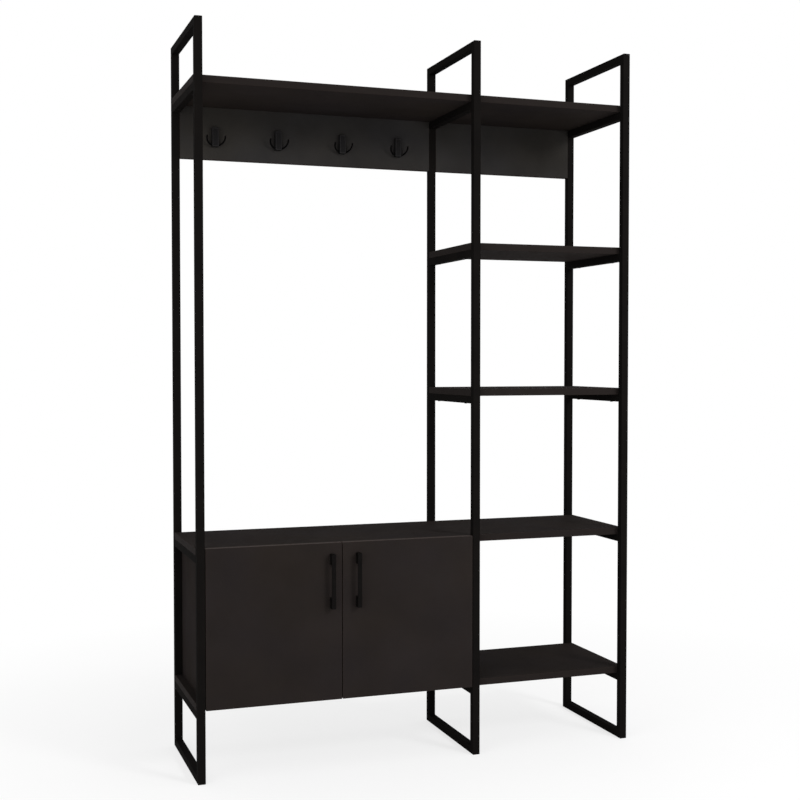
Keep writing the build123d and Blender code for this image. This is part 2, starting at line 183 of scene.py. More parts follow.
class Graph:
    """Writes nodes into one tree, for materials and for geometry alike."""

    def __init__(self, tree):
        self.tree = tree
        tree.nodes.clear()

    def node(self, kind, settings=None, inputs=None, output=0):
        """Adds a node, sets its settings, then feeds its sockets, and returns one output."""
        made = self.tree.nodes.new(kind)
        for name, value in (settings or {}).items():
            if name == "stops":
                self.set_stops(made.color_ramp, value)
            else:
                setattr(made, name, value)
        for key, value in (inputs or {}).items():
            self.feed(made.inputs[key], value)
        return Socket(self, made.outputs[output]) if made.outputs else made

    def set_stops(self, ramp, stops):
        while len(ramp.elements) < len(stops):
            ramp.elements.new(1.0)
        for element, (position, level) in zip(ramp.elements, stops):
            element.position = position
            element.color = (level, level, level, 1.0)

    def feed(self, target, value):
        if isinstance(value, Socket):
            self.tree.links.new(value.socket, target)
        elif isinstance(value, list):
            for part in value:
                self.feed(target, part)
        elif target.type == "RGBA":
            target.default_value = (*value[:3], 1.0)
        else:
            target.default_value = value

    def vector_math(self, operation, *values, output=0):
        settings = {"operation": operation}
        return self.node("ShaderNodeVectorMath", settings, dict(enumerate(values)), output)


class Finish(Graph):
    """A material in the making: patterns go in and one Principled surface comes out."""

    def __init__(self, name):
        self.material = bpy.data.materials.new(name)
        self.material.use_nodes = True
        super().__init__(self.material.node_tree)
        self.place = self.node("ShaderNodeTexCoord", output="Object")

    def noise(self, scale, detail, stretch=(1.0, 1.0, 1.0)):
        """Noise from 0 to 1 with 0.5 in the middle; scale is in waves per metre."""
        place = self.node("ShaderNodeMapping", inputs={"Vector": self.place, "Scale": stretch})
        inputs = {"Vector": place, "Scale": scale, "Detail": detail}
        return self.node("ShaderNodeTexNoise", inputs=inputs)

    def around(self, middle, *patterns):
        """A middle value that each pattern, given with its weight, raises and lowers."""
        level = middle
        for pattern, weight in patterns:
            level = level + (pattern - 0.5) * weight
        return level

    def tone(self, *patterns):
        """A place between dark and light, from 0 to 1, that the patterns set by their weights."""
        return self.around(0.5, *patterns).clamped()

    def specks(self, scale, inner, outer):
        """Small soft spots: 1 in a spot and 0 between spots."""
        inputs = {"Vector": self.place, "Scale": scale}
        distance = self.node("ShaderNodeTexVoronoi", inputs=inputs)
        stops = ((inner, 1.0), (outer, 0.0))
        return self.node("ShaderNodeValToRGB", {"stops": stops}, {"Fac": distance})

    def rounded_edges(self, gain=2.0):
        """0 where a surface lies square to the axes; it reaches 1 sooner with a higher gain."""
        normal = self.node("ShaderNodeTexCoord", output="Normal")
        squares = self.vector_math("MULTIPLY", normal, normal)
        flatness = self.vector_math("DOT_PRODUCT", squares, squares, output="Value")
        return (gain - gain * flatness).clamped()

    def mix(self, factor, first, second):
        settings = {"data_type": "RGBA"}
        return self.node("ShaderNodeMix", settings, {0: factor, 6: first, 7: second}, 2)

    def surface(self, colour, roughness, relief, depth, gloss=0.5, metallic=0.0):
        """Ends the material; relief is a pattern and depth is how tall it stands in metres."""
        inputs = {"Strength": 1.0, "Distance": depth, "Height": relief}
        bump = self.node("ShaderNodeBump", inputs=inputs)
        inputs = {
            "Base Color": colour,
            "Roughness": roughness,
            "Normal": bump,
            "Specular IOR Level": gloss,
            "Metallic": metallic,
        }
        shader = self.node("ShaderNodeBsdfPrincipled", inputs=inputs)
        self.node("ShaderNodeOutputMaterial", inputs={"Surface": shader})
        return self.material


def tinted(colour, gain, warmth=0.0):
    """A colour made lighter or darker, and warmer or cooler."""
    return tuple(
        channel * gain * shift for channel, shift in zip(colour, (1 + warmth, 1.0, 1 - warmth))
    )


# ------------------------------------------------------------ finishes
def melamine(name, colour, clouding):
    """Matt melamine paper: clouding, a slow drift to olive, fine pearls and hand marks."""
    finish = Finish(name)
    cloud = finish.noise(scale=7.0, detail=3.0)
    drift = finish.noise(scale=5.0, detail=3.0)
    pearl = finish.noise(scale=900.0, detail=2.0)
    marks = finish.noise(scale=26.0, detail=4.0, stretch=(1.0, 1.0, 0.35))
    wear_and_highlight = finish.rounded_edges()
    tone = finish.tone((cloud, 1.6), (pearl, 0.8))
    dark, light = 1.0 - clouding, 1.0 + clouding
    cool = finish.mix(tone, tinted(colour, dark, warmth=-0.03), tinted(colour, light, warmth=-0.02))
    olive = tuple(channel * shift for channel, shift in zip(colour, (1.0, 0.99, 0.9)))
    warm = finish.mix(tone, tinted(olive, dark), tinted(olive, light, warmth=0.01))
    shade = finish.mix(finish.tone((drift, 2.4)), cool, warm)
    # Wear and painted highlight: the rounded edges are made lighter.
    shade = finish.mix(wear_and_highlight * 0.35, shade, tinted(colour, 2.2))
    roughness = finish.around(0.74, (pearl, 0.16), (marks, -0.16))
    return finish.surface(shade, roughness, pearl, depth=0.00006, gloss=PAPER_GLOSS)


def edge_band(name, colour, highlight_gain):
    """Extruded edging with faint lines along its run; its rounded edges are painted lighter and
    warmer as a painted highlight.
    """
    finish = Finish(name)
    lines = finish.noise(scale=240.0, detail=2.0, stretch=(0.08, 1.0, 1.0))
    cloud = finish.noise(scale=16.0, detail=2.0)
    wear_and_highlight = finish.rounded_edges()
    tone = finish.tone((lines, 0.5), (cloud, 0.8))
    shade = finish.mix(tone, tinted(colour, 0.93), tinted(colour, 1.14))
    # Painted highlight: the rounded edges get a lighter, warmer colour that stands in for light
    # catching them.
    shade = finish.mix(wear_and_highlight, shade, tinted(colour, highlight_gain, warmth=0.08))
    roughness = finish.around(0.6, (cloud, 0.16))
    return finish.surface(shade, roughness, lines, depth=0.00003, gloss=EDGING_GLOSS)


def hardboard(colour):
    """The printed paper of a thin back panel, over the weave of pressed fibres."""
    finish = Finish("anthracite_hardboard")
    fibres = finish.noise(scale=420.0, detail=3.0, stretch=(1.0, 1.0, 0.2))
    cloud = finish.noise(scale=9.0, detail=3.0)
    tone = finish.tone((cloud, 1.2), (fibres, 0.6))
    shade = finish.mix(tone, tinted(colour, 0.8), tinted(colour, 1.2, warmth=0.03))
    roughness = finish.around(0.66, (fibres, 0.2))
    return finish.surface(shade, roughness, fibres, depth=0.00008, gloss=EDGING_GLOSS)


def powder_coat(colour, roughness):
    """Baked matt powder on steel: orange peel, tiny specks, and thinner, greyer edges."""
    finish = Finish("black_powder_coat")
    peel = finish.noise(scale=520.0, detail=2.0)
    cloud = finish.noise(scale=12.0, detail=3.0)
    specks = finish.specks(scale=700.0, inner=0.12, outer=0.3)
    wear_and_highlight = finish.rounded_edges()
    rubbed = (wear_and_highlight * (cloud - 0.3) * 0.8).clamped()
    tone = finish.tone((cloud, 1.2), (peel, 0.5))
    shade = finish.mix(tone, tinted(colour, 0.8, warmth=-0.03), tinted(colour, 1.25, warmth=0.06))
    shade = finish.mix(specks * 0.25, shade, tinted(colour, 2.0))
    shade = finish.mix(rubbed, shade, tinted(colour, 2.0, warmth=0.05))
    roughness = finish.around(roughness, (peel, 0.14)) - wear_and_highlight * 0.05
    return finish.surface(shade, roughness, peel, depth=0.00008, gloss=POWDER_GLOSS)


def satin_lacquer(name, colour, roughness, stretch):
    """Satin lacquer over drawn metal; the drawing lines run where the stretch is small."""
    finish = Finish(name)
    lines = finish.noise(scale=900.0, detail=2.0, stretch=stretch)
    cloud = finish.noise(scale=45.0, detail=3.0)
    wear_and_highlight = finish.rounded_edges()
    tone = finish.tone((lines, 0.9), (cloud, 0.8))
    shade = finish.mix(tone, tinted(colour, 0.7, warmth=-0.04), tinted(colour, 1.35, warmth=0.05))
    # Wear and painted highlight: the rounded edges are made lighter.
    shade = finish.mix(wear_and_highlight * 0.3, shade, tinted(colour, 1.8))
    roughness = finish.around(roughness, (cloud, 0.16), (lines, 0.08))
    return finish.surface(shade, roughness, lines, depth=0.00002, gloss=LACQUER_GLOSS)


def hook_lacquer(colour, roughness, rim_end, recess_end):
    """Satin lacquer on a cast hook: a lighter rim round a dark recess, a flank lightened with
    painted light, and rounded edges and prongs darkened with painted shade.

    The two limits are the depths, along Y, at which the rim and the recess end.
    """
    finish = Finish("black_hook_lacquer")
    cast = finish.noise(scale=700.0, detail=3.0)
    cloud = finish.noise(scale=60.0, detail=3.0)
    depth = finish.node("ShaderNodeSeparateXYZ", inputs={0: finish.place}, output="Y")
    behind_rim = depth.math("GREATER_THAN", depth, rim_end)
    behind_recess = depth.math("GREATER_THAN", depth, recess_end)
    level = HOOK_RIM_TONE + behind_rim * (HOOK_RECESS_TONE - HOOK_RIM_TONE)
    # Painted light: the flank, and all that lies behind the recess, gets a tone set for the light
    # that the sides catch.
    level = level + behind_recess * (HOOK_FLANK_PAINTED_LIGHT - HOOK_RECESS_TONE)
    level = level * finish.around(1.0, (cast, 0.2), (cloud, 0.2))
    shade = finish.node(
        "ShaderNodeVectorMath", {"operation": "SCALE"}, {0: colour, "Scale": level}
    )
    # Painted shade: the rounded edges and the curved prongs are darkened.
    shade = finish.mix(finish.rounded_edges(gain=12.0), shade, tinted(colour, HOOK_EDGE_PAINTED_SHADE))
    roughness = finish.around(roughness, (cloud, 0.16))
    return finish.surface(shade, roughness, cast, depth=0.00003, gloss=LACQUER_GLOSS)


def plated_steel(name, colour, grain):
    """Bright plating over pressed or turned steel, dulled in patches by handling."""
    finish = Finish(name)
    press = finish.noise(scale=grain, detail=3.0, stretch=(1.0, 0.25, 1.0))
    dull = finish.noise(scale=60.0, detail=4.0)
    wear_and_highlight = finish.rounded_edges()
    tone = finish.tone((press, 0.5), (dull, 1.1))
    shade = finish.mix(tone, tinted(colour, 0.72), tinted(colour, 1.12))
    # Wear and painted highlight: the rounded edges are made lighter.
    shade = finish.mix(wear_and_highlight * 0.3, shade, tinted(colour, 1.3))
    roughness = finish.around(0.3, (dull, 0.3), (press, 0.1))
    return finish.surface(shade, roughness, press, depth=0.00002, metallic=1.0)


# ------------------------------------------------------------ meshes and pieces
def dress(node, *materials):
    """Puts materials on a CAD node that keeps its own shape."""
    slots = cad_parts[node].data.materials
    slots.clear()
    for material in materials:
        slots.append(material)


def loose_object(name, data):
    made = bpy.data.objects.new(name, data)
    bpy.context.scene.collection.objects.link(made)
    return made


def settled_mesh(shape):
    """The mesh that an object's modifiers give. The object itself goes."""
    depsgraph = bpy.context.evaluated_depsgraph_get()
    seen = shape.evaluated_get(depsgraph)
    mesh = bpy.data.meshes.new_from_object(
        seen, preserve_all_data_layers=True, depsgraph=depsgraph
    )
    bpy.data.objects.remove(shape)
    return mesh


def add_piece(name, mesh, body, slot, *nodes):
    """Shows a finished mesh on a body, in place of the CAD nodes that it stands for."""
    mesh.name = name
    piece = loose_object(name, mesh)
    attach(piece, body)
    if nodes:
        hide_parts(*nodes)
    return piece


def mesh_from(bm, name):
    for face in bm.faces:
        face.smooth = True
    mesh = bpy.data.meshes.new(name)
    bm.to_mesh(mesh)
    bm.free()
    return mesh


def box_mesh(low, high, name):
    """A closed box between two corners."""
    bm = bmesh.new()
    bmesh.ops.create_cube(bm, size=1.0)
    middle = (low + high) / 2
    for vertex in bm.verts:
        vertex.co = middle + vertex.co * (high - low)
    return mesh_from(bm, name)


def outline_mesh(points, low, high, name):
    """A prism along X: an outline of (y, z) points between two x limits."""
    bm = bmesh.new()
    ends = [[bm.verts.new((x, *point)) for point in points] for x in (low, high)]
    bm.faces.new(ends[0])
    bm.faces.new(reversed(ends[1]))
    for i, (a, b) in enumerate(zip(*ends)):
        c, d = ends[1][i - 1], ends[0][i - 1]
        bm.faces.new((a, b, c, d))
    bmesh.ops.recalc_face_normals(bm, faces=bm.faces)
    return mesh_from(bm, name)


def rounded(shape, radius):
    """Rounds every square edge of an object."""
    bevel = shape.modifiers.new("edges", "BEVEL")
    bevel.width = radius
    bevel.segments = EDGE_SEGMENTS
    bevel.limit_method = "ANGLE"
    bevel.harden_normals = True
    return shape


def thin_axis(low, high):
    sizes = list(high - low)
    return sizes.index(min(sizes))


def band_the_edges(mesh, axis):
    """The first material stays on the two broad faces and the second goes round the edges."""
    for face in mesh.polygons:
        face.material_index = 0 if abs(face.normal[axis]) > SQUARE_ON else 1


def board_mesh(node, edge_round, materials, cutters=()):
    """A faced board with rounded edging, the size of its CAD node."""
    low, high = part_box(node)
    shape = loose_object(node, box_mesh(low, high, node))
    for cutter in cutters:
        cut = shape.modifiers.new("pocket", "BOOLEAN")
        cut.object = cutter
        cut.solver = "EXACT"
    mesh = settled_mesh(rounded(shape, edge_round))
    for material in materials:
        mesh.materials.append(material)
    band_the_edges(mesh, thin_axis(low, high))
    return mesh


# ------------------------------------------------------------ fasteners
def loose_parts(node):
    """The corner points of each separate solid in a CAD node, in the order of its mesh."""
    bm = bmesh.new()
    bm.from_mesh(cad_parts[node].data)
    bmesh.ops.remove_doubles(bm, verts=bm.verts, dist=MERGE_DISTANCE)
    found = set()
    parts = [linked_points(start, found) for start in bm.verts if start not in found]
    bm.free()
    return parts


def linked_points(start, found):
    """The places of all vertices that edges join to the first one. Each is added to those found."""
    found.add(start)
    front = [start]
    points = []
    while front:
        vertex = front.pop()
        points.append(vertex.co.copy())
        for edge in vertex.link_edges:
            other = edge.other_vert(vertex)
            if other not in found:
                found.add(other)
                front.append(other)
    return points


def screw_place(points, head_height):
    """The seat of one screw's head, the direction of its shank, and its length over all."""
    low = Vector([min(point[axis] for point in points) for axis in (X, Y, Z)])
    high = Vector([max(point[axis] for point in points) for axis in (X, Y, Z)])
    sizes = list(high - low)
    along = sizes.index(max(sizes))
    across = (along + 1) % 3
    middle = (low + high) / 2
    widest = max(points, key=lambda point: abs(point[across] - middle[across]))
    way = 1.0 if widest[along] < middle[along] else -1.0
    direction = Vector([way if axis == along else 0.0 for axis in (X, Y, Z)])
    head_end = middle - direction * sizes[along] / 2
    return head_end + direction * head_height, direction, sizes[along]


def places_mesh(places):
    """Points to stand screws on, each with the direction of its screw."""
    mesh = bpy.data.meshes.new("places")
    mesh.from_pydata([place for place, _, _ in places], [], [])
    directions = mesh.attributes.new("direction", "FLOAT_VECTOR", "POINT")
    for i, (_, direction, _) in enumerate(places):
        directions.data[i].vector = direction
    return mesh


def new_tree(name, sockets):
    """An empty geometry tree with named inputs and one geometry output."""
    tree = bpy.data.node_groups.new(name, "GeometryNodeTree")
    tree.interface.new_socket("Geometry", in_out="OUTPUT", socket_type="NodeSocketGeometry")
    for label, kind, default in sockets:
        socket = tree.interface.new_socket(
            label, in_out="INPUT", socket_type=f"NodeSocket{kind}"
        )
        if default is not None:
            socket.default_value = default
    return tree


def group_inputs(graph):
    made = graph.tree.nodes.new("NodeGroupInput")
    return {out.name: Socket(graph, out) for out in made.outputs if out.name}


def run_tree(tree, mesh, values):
    """Runs a geometry tree on a mesh and returns the plain mesh that it makes."""
    shape = loose_object(tree.name, mesh)
    modifier = shape.modifiers.new(tree.name, "NODES")
    modifier.node_group = tree
    for item in tree.interface.items_tree:
        if item.in_out == "INPUT" and item.name in values:
            modifier[item.identifier] = values[item.name]
    return settled_mesh(shape)


def moved(graph, geometry, **inputs):
    inputs = {name.title(): value for name, value in inputs.items()}
    return graph.node("GeometryNodeTransform", inputs={"Geometry": geometry, **inputs})


def vector(graph, x=0.0, y=0.0, z=0.0):
    return graph.node("ShaderNodeCombineXYZ", inputs={0: x, 1: y, 2: z})


def scaled(graph, place, x, y, z):
    """A place with each of its three parts multiplied."""
    return graph.vector_math("MULTIPLY", place, vector(graph, x, y, z))


def screw_head(graph, given):
    """A low domed head with a cross recess; its flat underside lies at z = 0."""
    ball = graph.node(
        "GeometryNodeMeshUVSphere",
        inputs={"Segments": SCREW_HEAD_SIDES, "Rings": SCREW_HEAD_RINGS, "Radius": 1.0},
    )
    place = graph.node("GeometryNodeInputPosition")
    height = graph.node("ShaderNodeSeparateXYZ", inputs={0: place}, output="Z")
    dome = height.math("MAXIMUM", height, 0.0) ** SCREW_DOME_POWER
    flat = scaled(graph, place, given["Head radius"], given["Head radius"], 0.0)
    lifted = graph.vector_math("ADD", flat, vector(graph, z=dome * given["Head height"]))
    head = graph.node(
        "GeometryNodeSetPosition", inputs={"Geometry": ball, "Position": lifted}
    )
    slot_size = vector(graph, given["Recess length"], given["Recess width"], given["Head height"])
    slot = graph.node("GeometryNodeMeshCube", inputs={"Size": slot_size})
    lift = vector(graph, z=given["Head height"])
    slots = [
        moved(graph, slot, translation=lift, rotation=(0.0, 0.0, turn))
        for turn in (math.pi / 4, -math.pi / 4)
    ]
    return graph.node(
        "GeometryNodeMeshBoolean",
        {"operation": "DIFFERENCE", "solver": "EXACT"},
        {"Mesh 1": head, "Mesh 2": slots},
    )


def screw_shank(graph, given):
    """A threaded shank that runs down from z = 0 to a blunt point."""
    rod = graph.node(
        "GeometryNodeMeshCylinder",
        inputs={
            "Vertices": SCREW_SHANK_SIDES,
            "Side Segments": SCREW_SHANK_STEPS,
            "Radius": given["Shank radius"],
            "Depth": given["Length"],
        },
    )
    rod = moved(graph, rod, translation=vector(graph, z=given["Length"] * -0.5))
    place = graph.node("GeometryNodeInputPosition")
    x, y, z = (
        graph.node("ShaderNodeSeparateXYZ", inputs={0: place}, output=axis) for axis in "XYZ"
    )
    turn = x.math("ARCTAN2", y, x) / math.tau
    wave = turn.math("PINGPONG", turn + z / given["Pitch"], 0.5)
    left = (z + given["Length"]) / given["Tip length"]
    taper = left.math("MINIMUM", left + SCREW_TIP_SHARE, 1.0)
    girth = (THREAD_ROOT_SHARE + wave * THREAD_CREST_RISE) * taper
    return graph.node(
        "GeometryNodeSetPosition",
        inputs={"Geometry": rod, "Position": scaled(graph, place, girth, girth, 1.0)},
    )


def screw_tree():
    """Stands one screw on every point and turns its recess by a fixed random amount."""
    tree = new_tree(
        "screws",
        (
            ("Places", "Geometry", None),
            ("Head radius", "Float", 0.00425),
            ("Head height", "Float", 0.0018),
            ("Recess length", "Float", 0.0046),
            ("Recess width", "Float", 0.001),
            ("Shank radius", "Float", 0.002),
            ("Length", "Float", 0.03),
            ("Tip length", "Float", 0.003),
            ("Pitch", "Float", 0.0016),
            ("Seed", "Int", 0),
            ("Finish", "Material", None),
        ),
    )
    graph = Graph(tree)
    given = group_inputs(graph)
    parts = [screw_head(graph, given), screw_shank(graph, given)]
    screw = graph.node("GeometryNodeJoinGeometry", inputs={"Geometry": parts})
    angle = graph.node("GeometryNodeInputMeshEdgeAngle")
    crease = angle.math("GREATER_THAN", angle, CREASE_ANGLE)
    screw = graph.node(
        "GeometryNodeSetShadeSmooth",
        {"domain": "EDGE"},
        {"Geometry": screw, "Selection": crease, "Shade Smooth": False},
    )
    direction = graph.node(
        "GeometryNodeInputNamedAttribute",
        {"data_type": "FLOAT_VECTOR"},
        {"Name": "direction"},
    )
    up = graph.node(
        "ShaderNodeVectorMath", {"operation": "SCALE"}, {0: direction, "Scale": -1.0}
    )
    upright = graph.node("FunctionNodeAlignRotationToVector", {"axis": "Z"}, {"Vector": up})
    spin = graph.node(
        "FunctionNodeRandomValue",
        {"data_type": "FLOAT"},
        {2: 0.0, 3: math.tau, "Seed": given["Seed"]},
        output=1,
    )
    spin = vector(graph, z=spin)
    spun = graph.node(
        "FunctionNodeRotateRotation",
        {"rotation_space": "LOCAL"},
        {0: upright, 1: graph.node("FunctionNodeEulerToRotation", inputs={0: spin})},
    )
    standing = graph.node(
        "GeometryNodeInstanceOnPoints",
        inputs={"Points": given["Places"], "Instance": screw, "Rotation": spun},
    )
    end_tree(graph, standing, given["Finish"])
    return tree


def end_tree(graph, geometry, finish):
    solid = graph.node("GeometryNodeRealizeInstances", inputs={"Geometry": geometry})
    solid = graph.node(
        "GeometryNodeSetMaterial", inputs={"Geometry": solid, "Material": finish}
    )
    graph.node("NodeGroupOutput", inputs={"Geometry": solid})


def weld_tree():
    """Lays a rippled bead along every edge that it is given."""
    tree = new_tree(
        "weld_beads",
        (
            ("Seams", "Geometry", None),
            ("Bead radius", "Float", 0.0016),
            ("Ripple length", "Float", 0.0012),
            ("Ripple depth", "Float", 0.16),
            ("Seed", "Int", 0),
            ("Finish", "Material", None),
        ),
    )
    graph = Graph(tree)
    given = group_inputs(graph)
    seam = graph.node("GeometryNodeMeshToCurve", inputs={"Mesh": given["Seams"]})
    step = given["Ripple length"] * (1 / BEAD_STEPS_PER_RIPPLE)
    seam = graph.node(
        "GeometryNodeResampleCurve", {"mode": "LENGTH"}, {"Curve": seam, "Length": step}
    )
    run = graph.node("GeometryNodeSplineParameter", output="Length")
    wave = run.math("SINE", run / given["Ripple length"] * math.tau)
    uneven = graph.node(
        "FunctionNodeRandomValue",
        {"data_type": "FLOAT"},
        {2: 1.0 - BEAD_UNEVENNESS, 3: 1.0 + BEAD_UNEVENNESS, "Seed": given["Seed"]},
        output=1,
    )
    size = (1.0 + wave * given["Ripple depth"]) * uneven * given["Bead radius"]
    ring = graph.node(
        "GeometryNodeCurvePrimitiveCircle", inputs={"Resolution": BEAD_SIDES, "Radius": 1.0}
    )
    bead = graph.node(
        "GeometryNodeCurveToMesh",
        inputs={"Curve": seam, "Profile Curve": ring, "Scale": size, "Fill Caps": True},
    )
    bead = graph.node("GeometryNodeSetShadeSmooth", inputs={"Geometry": bead})
    end_tree(graph, bead, given["Finish"])
    return tree


def add_screws(tree, node, finish, seed):
    body, slot = SCREWS[node]
    settings = bpy.context.scene.hall_tree_hardware
    head_height = settings.head_height
    places = [screw_place(points, head_height) for points in loose_parts(node)]
    length = places[0][2] - head_height
    values = {
        "Head radius": settings.head_width / 2,
        "Head height": head_height,
        "Length": length,
        "Seed": seed,
        "Finish": finish,
    }
    mesh = run_tree(tree, places_mesh(places), values)
    add_piece(f"{node}_threaded", mesh, body, slot, node)


# ------------------------------------------------------------ settings
def colour_property(name, description, default):
    return bpy.props.FloatVectorProperty(
        name=name, description=description, default=default, size=3, min=0, max=1, subtype="COLOR"
    )


def length_property(name, description, default):
    return bpy.props.FloatProperty(
        name=name, description=description, default=default, min=0, unit="LENGTH", precision=4
    )


def share_property(name, description, default):
    return bpy.props.FloatProperty(
        name=name, description=description, default=default, min=0, max=1
    )


def power_property(name, description, default):
    return bpy.props.FloatProperty(
        name=name, description=description, default=default, min=0, unit="POWER"
    )


class HallTreeFrames(bpy.types.PropertyGroup):
    """The three welded steel loops."""

    paint: colour_property("Paint", "Colour of the powder coat", (0.0055, 0.0050, 0.0048))
    roughness: share_property("Roughness", "How matt the powder coat is", 0.55)
    bead: length_property("Weld bead", "Radius of the weld beads", 0.0016)


class HallTreeBoards(bpy.types.PropertyGroup):
    """Shelves, panels, cabinet and doors."""

    face: colour_property("Face", "Colour of the melamine faces", (0.0164, 0.0133, 0.0129))
    panel: colour_property("Panel", "Colour of the hook panels", (0.0240, 0.0223, 0.0222))
    # The edging is darker than the faces as painted shade, so that its lit ends and front edges
    # read as dark as the shaded faces beside them.
    band: colour_property("Edge band", "Colour of the edging", (0.0140, 0.0114, 0.0106))
    # The doors' edging is painted much lighter than the faces: a painted highlight along the lit
    # edges of the doors.
    door_highlight_band: colour_property("Door band", "Colour of the doors' edging", (0.042, 0.033, 0.030))
    back: colour_property("Back", "Colour of the thin back panel", (0.0150, 0.0125, 0.0118))
    edge_round: length_property("Edge round", "Radius of the boards' edging", 0.0009)
    cup_radius: length_property("Cup radius", "Radius of the hinge cup pockets", 0.01755)
    cup_depth: length_property("Cup depth", "Depth of the hinge cup pockets", 0.0115)
    cup_rim: length_property("Cup rim", "Width of the rim round a cup", 0.0015)
    cup_wing: length_property("Cup wing", "Height of a cup's screw plate", 0.062)


class HallTreeHardware(bpy.types.PropertyGroup):
    """Handles, hooks, hinges and screws."""

    handle: colour_property("Handles", "Colour of the handles", (0.0046, 0.0042, 0.0041))
    hook: colour_property("Hooks", "Colour of the coat hooks", (0.0160, 0.0152, 0.0156))
    nickel: colour_property("Hinges", "Colour of the nickel plating", (0.58, 0.57, 0.54))
    zinc: colour_property("Screws", "Colour of the zinc plating", (0.52, 0.53, 0.55))
    black: colour_property("Black screws", "Colour of the black screws", (0.0058, 0.0052, 0.0050))
    handle_roughness: share_property("Handle roughness", "How matt the handles are", 0.4)
    hook_roughness: share_property("Hook roughness", "How matt the coat hooks are", 0.45)
    screw_roughness: share_property("Screw roughness", "How matt the black screws are", 0.5)
    handle_round: length_property("Handle round", "Radius of the handles' edges", 0.0009)
    handle_foot: length_property("Handle foot", "Height of each foot of a handle", 0.028)
    handle_bar: length_property("Handle bar", "Thickness of a handle's bar", 0.004)
    head_width: length_property("Screw head", "Diameter of the screw heads", 0.0085)
    head_height: length_property("Screw head height", "Height of the screw heads", 0.0018)
    hook_depth: length_property("Hook depth", "How far a hook's block stands out", 0.012)
    hook_recess: length_property("Hook recess", "Depth of the recess in a hook's face", 0.0008)


class HallTreeStage(bpy.types.PropertyGroup):
    """Floor, lamps and camera."""

    camera_place: bpy.props.FloatVectorProperty(
        name="Camera",
        description="Where the camera stands",
        default=(-1.16874, -3.2924, 1.05398),
        size=3,
        subtype="TRANSLATION",
    )
    camera_turn: bpy.props.FloatVectorProperty(
        name="Camera turn",
        description="Pitch, roll and heading of the camera",
        default=(math.radians(88.206), 0.0, math.radians(-19.38)),
        size=3,
        subtype="EULER",
    )
    lens: bpy.props.FloatProperty(
        name="Lens", description="Focal length in millimetres", default=57.53, min=1
    )
    daylight: bpy.props.FloatProperty(
        name="Daylight", description="Strength of the even light", default=0.76, min=0
    )
    key: power_property("Key lamp", "Strength of the main lamp", 85.0)
    fill: power_property("Fill lamp", "Strength of the second lamp", 40.0)
    lift: power_property("Lift lamp", "Strength of the low lamp", 11.0)
    floor: colour_property("Floor", "Colour of the floor", (0.9, 0.9, 0.9))
    veil: share_property("Veil", "How far the floor's shadows are veiled", 0.72)


# ------------------------------------------------------------ operators
class HALLTREE_OT_frames(bpy.types.Operator):
    """Paint the steel tubes and lay the weld beads in their inner corners"""

    bl_idname = "hall_tree.frames"
    bl_label = "Steel frames"

    def execute(self, context):
        settings = context.scene.hall_tree_frames
        paint = powder_coat(settings.paint, settings.roughness)
        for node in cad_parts:
            if "_frame_" in node:
                dress(node, paint)
        values = {"Bead radius": settings.bead, "Seed": BEAD_SEED, "Finish": paint}
        mesh = run_tree(weld_tree(), seams_mesh(settings.bead), values)
        add_piece("frame_weld_beads", mesh, "stand", "frame_steel")
        return {"FINISHED"}


def seam_heights(name):
    """The heights at which a frame's members meet its posts in an inner corner."""
    rails = [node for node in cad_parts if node.startswith(f"{name}_frame_")]
    heights = [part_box(node)[0].z for node in rails if node.endswith("_rail")]
    return [TUBE, CAD_BOX[1].z - TUBE, *heights]


def seams_mesh(bead):
    """One short edge across the tube for each inner corner of the frames."""
    points = []
    inset = BEAD_END_INSET + bead
    for name in FRAMES:
        low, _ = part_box(f"{name}_frame_foot_tube")
        front = low.y + TUBE
        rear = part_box(f"{name}_frame_rear_post")[0].y
        for height in seam_heights(name):
            for y in (front, rear):
                points.append((low.x + inset, y, height))
                points.append((low.x + TUBE - inset, y, height))
    mesh = bpy.data.meshes.new("seams")
    mesh.from_pydata(points, [(i, i + 1) for i in range(0, len(points), 2)], [])
    return mesh


class HALLTREE_OT_boards(bpy.types.Operator):
    """Make the faced and banded shelves, the hook panels and the cabinet"""

    bl_idname = "hall_tree.boards"
    bl_label = "Boards"

    def execute(self, context):
        settings = context.scene.hall_tree_boards
        face = board_face(settings)
        band = edge_band("anthracite_edge_band", settings.band, BAND_HIGHLIGHT_GAIN)
        panel = melamine("graphite_melamine", settings.panel, PANEL_CLOUDING)
        for node in (*SHELVES, *CABINET_BOARDS, *HOOK_PANELS):
            front = panel if node in HOOK_PANELS else face
            mesh = board_mesh(node, settings.edge_round, (front, band))
            add_piece(f"{node}_banded", mesh, "stand", "anthracite_board", node)
        dress("cabinet_back", hardboard(settings.back))
        return {"FINISHED"}


def board_face(settings):
    """The melamine of the shelves, the cabinet and the doors, made once."""
    name = "anthracite_melamine"
    return bpy.data.materials.get(name) or melamine(name, settings.face, BOARD_CLOUDING)


class HALLTREE_OT_doors(bpy.types.Operator):
    """Make the two door leaves with their hinge cup pockets"""

    bl_idname = "hall_tree.doors"
    bl_label = "Doors"

    def execute(self, context):
        settings = context.scene.hall_tree_boards
        materials = (
            board_face(settings),
            # This edging carries the doors' painted highlight.
            edge_band("light_edge_band", settings.door_highlight_band, DOOR_HIGHLIGHT_GAIN),
        )
        for side in SIDES:
            cutters = cup_cutters(side, settings)
            mesh = board_mesh(f"{side}_door", settings.edge_round, materials, cutters)
            for cutter in cutters:
                bpy.data.objects.remove(cutter)
            add_piece(
                f"{side}_door_banded",
                mesh,
                f"{side}_door_leaf",
                "anthracite_board",
                f"{side}_door",
            )
        return {"FINISHED"}


